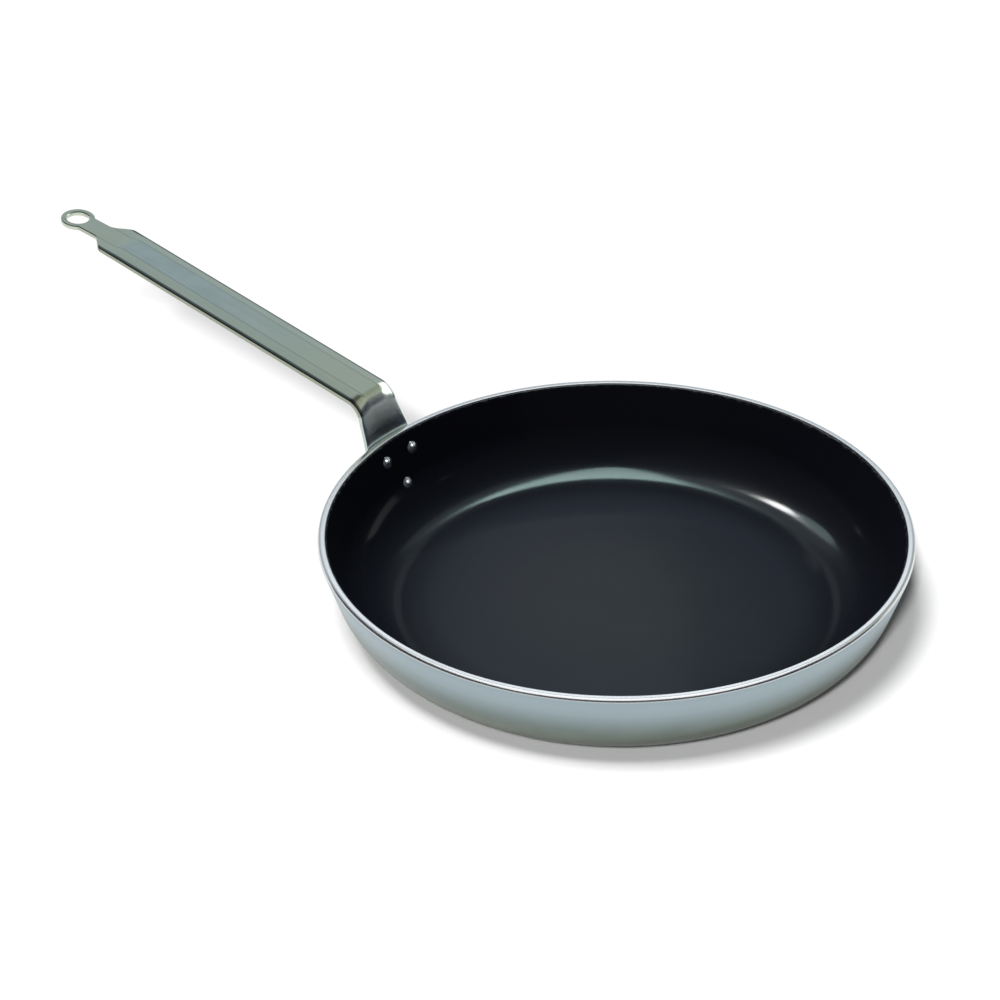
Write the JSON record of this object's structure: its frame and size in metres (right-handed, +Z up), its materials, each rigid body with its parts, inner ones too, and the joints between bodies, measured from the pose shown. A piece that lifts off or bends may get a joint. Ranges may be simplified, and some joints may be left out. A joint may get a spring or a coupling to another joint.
{
  "type": "frying pan",
  "caption": "Round low-sided frying pan of pressed aluminium with a dark non-stick inside, a bare rim and a riveted strip-steel handle that ends in a hanging eye.",
  "frame": {"origin": "centre of the base's flat underside, on the surface that the pan stands on", "axes": "+X out along the handle, +Y to the left seen from the pan's middle towards the handle, +Z up"},
  "size_m": [0.5718, 0.32, 0.1184],
  "materials": {
    "aluminium_body": "satin, turned bright at the rim",
    "release_coating": "semi-gloss fluoropolymer coating",
    "strip_steel": "plain rolled strip, lightly brushed",
    "rivet_aluminium": "bare set heads"
  },
  "bodies": {
    "root": {"pan_body": "aluminium_body", "release_coating": "release_coating", "handle": "strip_steel", "rivet_upper_left": "rivet_aluminium", "rivet_upper_right": "rivet_aluminium", "rivet_lower": "rivet_aluminium"}
  },
  "joints": []
}
